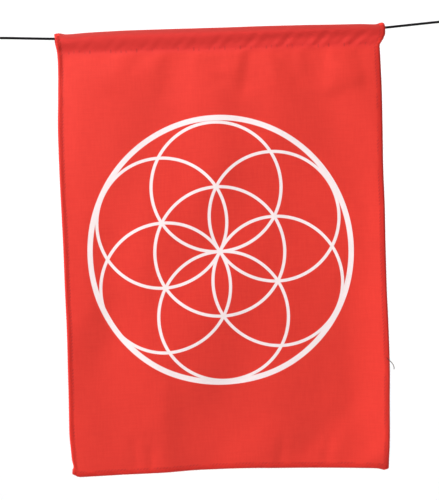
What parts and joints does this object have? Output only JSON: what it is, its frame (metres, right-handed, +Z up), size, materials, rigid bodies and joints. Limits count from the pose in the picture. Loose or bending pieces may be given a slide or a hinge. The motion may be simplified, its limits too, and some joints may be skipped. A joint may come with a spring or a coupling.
{
  "type": "prayer flag on cord",
  "caption": "Rectangular light cloth flag printed with a ring of overlapping circles, hung by its top casing on a thin taut cord that ends in a small tied loop on either side.",
  "frame": {"origin": "the point inside the left loop where a hook or nail bears", "axes": "+Z up, +X along the cord towards the right loop, and the printed face of the cloth looks along -Y"},
  "size_m": [0.3408, 0.0096, 0.2912],
  "materials": {
    "cloth": "smooth woven polyester with a soft sheen, printed in white",
    "cord": "fine black twisted cord"
  },
  "bodies": {
    "root": {"flag": "cloth", "cord": "cord", "left_loop": "cord", "left_knot": "cord", "right_loop": "cord", "right_knot": "cord"}
  },
  "joints": []
}
